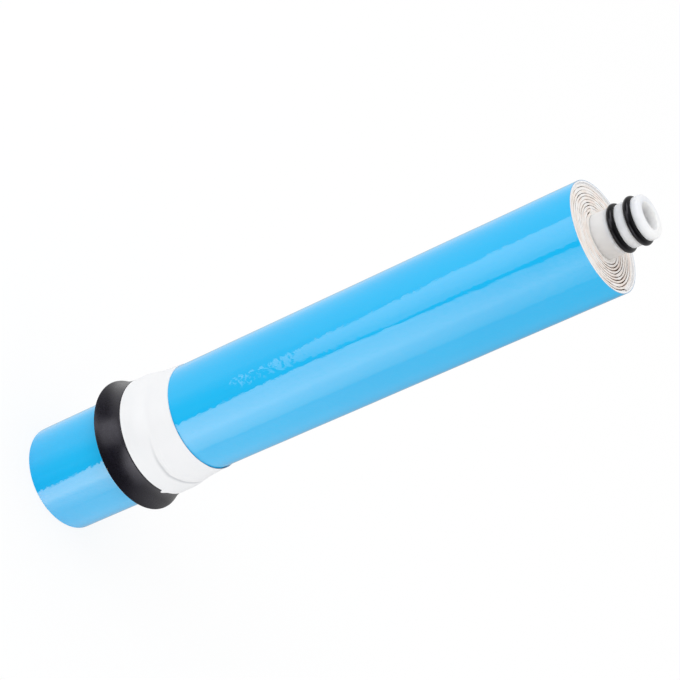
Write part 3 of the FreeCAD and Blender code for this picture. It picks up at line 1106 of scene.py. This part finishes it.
    def rod_points(self, turned: Array, lean: int, end: float, reach: Array) -> Array:
        """Two rings of points for each rod.

        Args:
            turned: the angles wound up to the rods.
            lean: which way they lean.
            end: the height of the netting's own end.
            reach: how far each stands out of it, negative at the foot.

        Returns:
            An array of rods, 2 rings, sides and 3 coordinates, in metres.
        """
        ring = np.linspace(0, 2 * np.pi, self.strand_sides, endpoint=False)
        root = end - self.strand_root * np.sign(reach)
        z = np.stack([root, end + reach], axis=1)[:, :, None]
        slide = lean * np.abs(z - root[:, None, None])
        base = self.radius(turned, 0)[:, None, None]
        angle = turned[:, None, None] + (slide + self.strand * np.sin(ring)) / base
        middle = self.radius(turned, self.leaf + self.strand_place + self.strand_apart * lean)
        radius = middle[:, None, None] + self.strand * self.strand_flat * np.cos(ring)
        return around(radius, angle - np.pi / 2, z)


@dataclass
class KeptNodes:
    """The frame's nodes that keep their own shape and only take a finish."""

    tube: MouldedFinish
    ring: RubberFinish
    cloth: ClothFinish
    netting: NettingFinish
    tape: TapeFinish

    def build(self) -> list[Object]:
        """Dresses each node.

        Returns:
            The nodes.
        """
        rubber = self.ring.build("ring_satin")
        finishes = {
            "permeate_tube": self.tube.build(),
            "o_ring_inner": rubber,
            "o_ring_outer": rubber,
            "permeate_carrier": self.cloth.build(),
            "feed_spacer": self.netting.build("netting_painted_shade"),
            "binding_tape": self.tape.build("binding_white"),
        }
        for name, material in finishes.items():
            dress(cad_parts[name], material)
        return [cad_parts[name] for name in finishes]


# ---- Studio ----


class Sky(NodeBoard):
    """The world's nodes, with the azimuth and elevation of a ray in degrees."""

    full_scale = 8.0

    def __init__(self, tree: bpy.types.NodeTree) -> None:
        """Works the angles out from the ray's direction.

        Args:
            tree: the world's node tree.
        """
        tree.nodes.clear()
        super().__init__(tree)
        towards = self.add("TexCoord").outputs["Generated"]
        self.x, y, z = self.add("SeparateXYZ", {0: towards}).outputs
        turn = self.math("ARCTAN2", self.x, self.times(y, -1.0))
        self.azimuth = self.times(turn, 180 / math.pi)
        self.elevation = self.times(self.math("ARCSINE", z), 180 / math.pi)
        angles = {0: self.azimuth, 1: self.elevation, 2: 1.0}
        self.direction = self.add("CombineXYZ", angles).outputs[0]

    def levels(self, stops: dict[int, float]) -> Socket:
        """Levels by azimuth, as a grey ramp that is scaled back to their true size.

        Args:
            stops: the level at each azimuth, from −180° on.

        Returns:
            The level at the ray's azimuth.
        """
        ramp = self.add("ValToRGB", {0: self.spread(self.azimuth, (-180, 180))})
        knots = ramp.color_ramp.elements
        places = [(angle + 180) / 360 for angle in stops]
        knots[0].position, knots[-1].position = places[0], places[-1]
        for place in places[1:-1]:
            knots.new(place)
        for knot, level in zip(knots, stops.values()):
            knot.color = (*[level / self.full_scale] * 3, 1)
        return self.times(ramp.outputs[0], self.full_scale)


@dataclass(frozen=True)
class Card:
    """A lit card of the studio, given by the directions of its corners.

    Corners are (azimuth, elevation) in degrees, counter-clockwise, with the
    azimuth from −Y towards +X.
    """

    corners: tuple[Pair, ...]
    softness: tuple[float, ...]

    def mask(self, sky: Sky) -> Socket:
        """Multiplies one soft step for each side of the card.

        Args:
            sky: the world's nodes.

        Returns:
            1 on the card and 0 off it.
        """
        steps = []
        for index, soft in enumerate(self.softness):
            start = np.array(self.corners[index])
            run = np.array(self.corners[(index + 1) % len(self.corners)]) - start
            across = np.array([-run[1], run[0]]) / np.linalg.norm(run)
            plane = (*across, -float(across @ start))
            side = sky.vector("DOT_PRODUCT", sky.direction, plane).outputs["Value"]
            steps.append(sky.spread(side, (-soft / 2, soft / 2), smooth=True))
        return sky.times(*steps)


@dataclass
class Studio:
    """The camera, the white floor, one soft lamp and the room that gloss reflects."""

    lens: float = 116.7
    camera_place: Place = (-0.004981, -0.737104, 0.554497)
    camera_down: float = 29.0525
    camera_roll: float = 65.6658
    camera_shift: float = 0.00044
    fill: float = 0.93
    side_fill: float = 0.12
    lamp_power: float = 1.4
    lamp_size: float = 0.45
    lamp_place: Place = (-0.55, -0.35, 1.05)
    lamp_aim: Place = (0, 0, 0.14)
    floor_reach: float = 4.0
    floor_drop: float = -0.2
    floor_tone: float = 0.9
    floor_shadow: float = 0.15

    main_card = Card(((15, -42), (66, -42), (66, -11), (6.5, -11), (-3.8, -22.5), (-16, -29)),
                     (1.5, 1.2, 6, 2.0, 1.2, 1.2))
    upper_card = Card(((-44, -31.3), (-22, -31.0), (-13, -28), (-22, 15), (-60, 15), (-62, -24)),
                      (0.3, 0.6, 0.8, 4, 2, 0.6))
    side_card = Card(((-105, 16), (-50, 16), (-50, 44), (-105, 44)), (4, 4, 4, 4))
    # Levels by azimuth: of the room below and above the horizon, then of the cards.
    room = {-180: 0.5, -168: 0.65, -158: 0.9, -148: 1.1, -120: 1.08, -62: 1.08, -58: 0.92,
            -50: 0.75, -40: 0.5, -28: 0.36, -20: 0.43, -10: 0.26, 10: 0.3, 60: 1.8, 72: 2.25,
            90: 1.85, 110: 1.45, 122: 1.2, 132: 0.9, 146: 0.64, 165: 0.55, 180: 0.5}
    upper_room = {-180: 0.7, -125: 0.62, -98: 0.42, -84: 0.3, -60: 0.24, -40: 0.2, 20: 0.12,
                  50: 0.2, 64: 0.6, 78: 1.0, 100: 1.05, 130: 0.7, 180: 0.7}
    card_glow = {-20: 0.75, 0: 0.78, 15: 0.9, 30: 1.02, 40: 0.8, 50: 0.7, 60: 0.55, 70: 0.5}
    card_gain = (3.3, 6.2)
    upper_glow = {-62: 3.4, -50: 3.3, -40: 3.0, -30: 2.6, -20: 1.9, -12: 1.7}
    side_glow = 4.5
    zenith = 0.9
    # The main card's dim corners, as (elevations, azimuths) from bright to dim.
    dim_corners = (((-34, -37), (25, 40)), ((-26, -23), (25, 0)))
    dim_share = 0.25

    def gloss_level(self, sky: Sky) -> Socket:
        """What gloss reflects: the room, dimmer at the right, and the three cards on it.

        Args:
            sky: the world's nodes.

        Returns:
            The level in the ray's direction.
        """
        azimuth, elevation = sky.azimuth, sky.elevation
        low = sky.spread(elevation, (-22, -36))
        right = sky.times(sky.spread(azimuth, (20, 66)), sky.spread(azimuth, (180, 150)))
        dimmed = sky.rest(sky.times(right, sky.rest(low), 0.5))
        falling = sky.times(sky.spread(elevation, (5, 16), (0, 0.6)),
                            sky.spread(azimuth, (50, 64)), sky.spread(azimuth, (130, 100)))
        below = sky.times(sky.levels(self.room), dimmed)
        above = sky.times(sky.levels(self.upper_room), sky.rest(falling))
        level = sky.mix(sky.spread(elevation, (-22, -14), smooth=True), below, above)
        level = sky.mix(sky.spread(elevation, (45, 75), smooth=True), level, self.zenith)
        main = sky.times(sky.levels(self.card_glow), sky.spread(low, (0, 1), self.card_gain))
        for heights, sides in self.dim_corners:
            corner = sky.times(sky.spread(elevation, heights, (0, self.dim_share)),
                               sky.spread(azimuth, sides))
            main = sky.times(main, sky.rest(corner))
        upper = sky.levels(self.upper_glow)
        for card, glow in ((self.main_card, main), (self.upper_card, upper),
                           (self.side_card, self.side_glow)):
            level = sky.mix(card.mask(sky), level, glow)
        return level

    def build_world(self) -> None:
        """The world: white to the camera, even fill on the object, cards for gloss."""
        world = bpy.data.worlds.new("studio_room")
        bpy.context.scene.world = world
        world.use_nodes = True
        world.cycles.sampling_method = "NONE"
        sky = Sky(world.node_tree)
        leftwards = sky.math("MAXIMUM", sky.times(sky.x, -self.side_fill), 0.0)
        levels = (sky.math("ADD", self.fill, leftwards), self.gloss_level(sky), 1.0)
        fill, gloss, white = (
            sky.add("Background", {"Color": (1, 1, 1, 1), "Strength": level}).outputs[0]
            for level in levels)
        path = sky.add("LightPath").outputs
        lit = sky.add("MixShader", {0: path["Is Glossy Ray"], 1: fill, 2: gloss}).outputs[0]
        seen = sky.add("MixShader", {0: path["Is Camera Ray"], 1: lit, 2: white}).outputs[0]
        sky.add("OutputWorld", {"Surface": seen})

    def build_floor(self) -> None:
        """A white floor that keeps a faint shadow and lets reflections see the room."""
        material = bpy.data.materials.new("floor_white")
        material.use_nodes = True
        material.node_tree.nodes.clear()
        board = NodeBoard(material.node_tree)
        path = board.add("LightPath").outputs
        matt, pure = (board.add("BsdfDiffuse", {"Color": (tone, tone, tone, 1)}).outputs[0]
                      for tone in (self.floor_tone, 1))
        glow = board.add("Emission", {"Color": (1, 1, 1, 1), "Strength": 1.0}).outputs[0]
        clear = board.add("BsdfTransparent").outputs[0]
        shown = board.add("MixShader", {0: self.floor_shadow, 1: glow, 2: pure}).outputs[0]
        solid = board.add("MixShader", {0: path["Is Camera Ray"], 1: matt, 2: shown}).outputs[0]
        below = board.add("NewGeometry").outputs["Backfacing"]
        away = board.math("MAXIMUM", path["Is Glossy Ray"], below)
        surface = board.add("MixShader", {0: away, 1: solid, 2: clear}).outputs[0]
        board.add("OutputMaterial", {"Surface": surface})
        mesh = bpy.data.meshes.new("floor")
        ends = ((-1, -1), (1, -1), (1, 1), (-1, 1))
        reach, drop = self.floor_reach, self.floor_drop * MM
        corners = [(x * reach, y * reach, drop) for x, y in ends]
        mesh.from_pydata(corners, [], [(0, 1, 2, 3)])
        floor = bpy.data.objects.new("floor", mesh)
        bpy.context.scene.collection.objects.link(floor)
        dress(floor, material)

    def build_lamp(self) -> None:
        """One soft lamp from the picture's upper left, not seen in reflections."""
        light = bpy.data.lights.new("soft_lamp", "AREA")
        light.energy = self.lamp_power
        light.size = self.lamp_size
        lamp = bpy.data.objects.new("soft_lamp", light)
        lamp.location = self.lamp_place
        aim = Vector(self.lamp_aim) - lamp.location
        lamp.rotation_euler = aim.to_track_quat("-Z", "Y").to_euler()
        lamp.visible_glossy = False
        bpy.context.scene.collection.objects.link(lamp)

    def build_camera(self) -> None:
        """The camera of the photograph, turned about its line of sight."""
        camera = bpy.data.objects.new("camera", bpy.data.cameras.new("camera"))
        camera.data.lens = self.lens
        camera.data.sensor_width = 36
        camera.data.shift_y = self.camera_shift
        tilt = Matrix.Rotation(math.radians(90 - self.camera_down), 4, "X")
        roll = Matrix.Rotation(math.radians(self.camera_roll), 4, "Z")
        camera.matrix_world = Matrix.Translation(self.camera_place) @ tilt @ roll
        bpy.context.scene.collection.objects.link(camera)
        bpy.context.scene.camera = camera

    def build(self) -> None:
        """Builds the whole studio."""
        bpy.context.scene.view_settings.view_transform = "Standard"
        self.build_world()
        self.build_floor()
        self.build_lamp()
        self.build_camera()


def main() -> None:
    """Builds the pieces in order, reports each, then the studio."""
    logging.basicConfig(level=logging.INFO, format="%(message)s")
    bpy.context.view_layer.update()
    tape, rubber, netting = TapeFinish(), RubberFinish(), NettingFinish()
    ring = RubberFinish(colour=(0.0018, 0.0016, 0.002), bloom=(0.0026, 0.0024, 0.003),
                        rough=(0.17, 0.24), grain=0.2, ior=1.3)
    roll = WoundRoll()
    pieces = [
        FilmWrap().build(FilmFinish()),
        BrineSeal().build(rubber),
        SealTape().build(tape),
        roll.build(LeafFinish()),
        roll.build_strands(netting),
        *KeptNodes(MouldedFinish(), ring, ClothFinish(), netting, tape).build(),
    ]
    for piece in pieces:
        LOG.info("%s: %d faces", piece.name, len(piece.data.polygons))
    Studio().build()
    bpy.context.view_layer.update()


if __name__ == "__main__":
    main()
